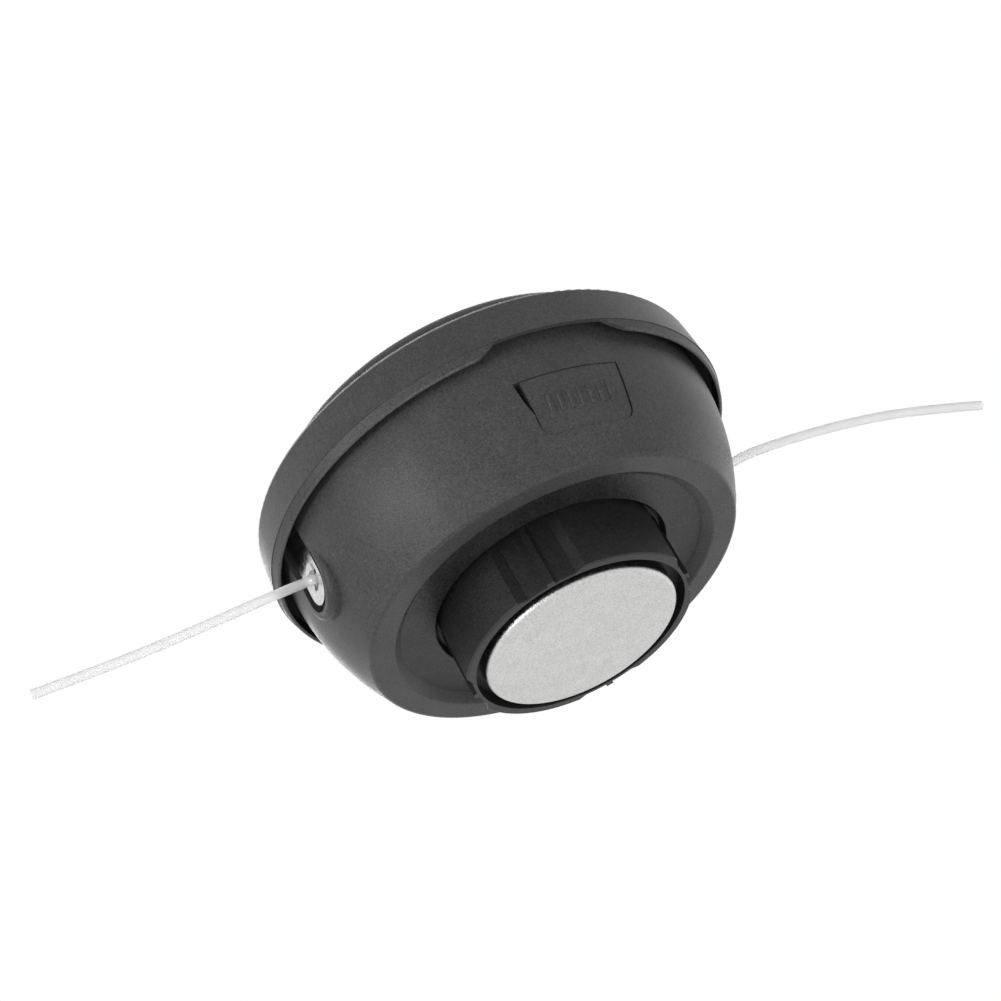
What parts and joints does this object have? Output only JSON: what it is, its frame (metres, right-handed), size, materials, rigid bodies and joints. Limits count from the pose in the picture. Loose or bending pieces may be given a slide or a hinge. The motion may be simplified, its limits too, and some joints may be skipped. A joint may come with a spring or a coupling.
{
  "type": "trimmer head",
  "caption": "Bump-feed string trimmer head: ring-shaped upper housing over a tapered bowl cover with push latches, line eyelets, and a sprung spool with a bump knob and metal button.",
  "frame": {"origin": "centre of the drive nut's thread at the mounting face on top of the head", "axes": "+Z along the drive shaft's axis, up towards the trimmer; line outlets on X, push latches on Y"},
  "size_m": [0.2616, 0.12, 0.0664],
  "materials": {
    "housing_nylon": "matte, fine moulded grain",
    "knob_nylon": "satin",
    "spool_nylon": "matte",
    "button_aluminium": "tumbled, matte",
    "eyelet_metal": "polished",
    "plated_steel": "zinc plated",
    "spring_steel": "drawn wire",
    "line_nylon": "translucent white monofilament"
  },
  "bodies": {
    "housing": {"upper_housing": "housing_nylon", "lower_cover": "housing_nylon", "drive_nut": "plated_steel", "eyelet_left": "eyelet_metal", "eyelet_right": "eyelet_metal", "bump_spring": "spring_steel", "line_end_left": "line_nylon", "line_end_right": "line_nylon"},
    "thrust": {"spring_washer": "plated_steel"},
    "spool_group": {"spool": "spool_nylon", "bump_knob": "knob_nylon", "bump_button": "button_aluminium", "button_screw": "plated_steel", "button_washer": "plated_steel", "line_winding_upper": "line_nylon", "line_winding_lower": "line_nylon"},
    "latch_front": {"release_latch_front": "housing_nylon"},
    "latch_rear": {"release_latch_rear": "housing_nylon"}
  },
  "joints": [
    {"name": "bump_press", "type": "slide", "parent": "housing", "child": "thrust", "axis": [0, 0, 1], "range_m": [0, 0.006], "stiffness_N_per_m": 2500, "springref_m": -0.012, "deforming": ["bump_spring"]},
    {"name": "spool_turn", "type": "hinge", "parent": "thrust", "child": "spool_group", "pos_m": [0, 0, 0], "axis": [0, 0, 1], "range_deg": [-25, 0]},
    {"name": "latch_front_press", "type": "hinge", "parent": "housing", "child": "latch_front", "pos_m": [0, -0.0512, -0.0131], "axis": [1, 0, 0], "range_deg": [0, 8], "stiffness_Nm_per_rad": 2.6, "springref_deg": -1.72},
    {"name": "latch_rear_press", "type": "hinge", "parent": "housing", "child": "latch_rear", "pos_m": [0, 0.0512, -0.0131], "axis": [-1, 0, 0], "range_deg": [0, 8], "stiffness_Nm_per_rad": 2.6, "springref_deg": -1.72}
  ]
}
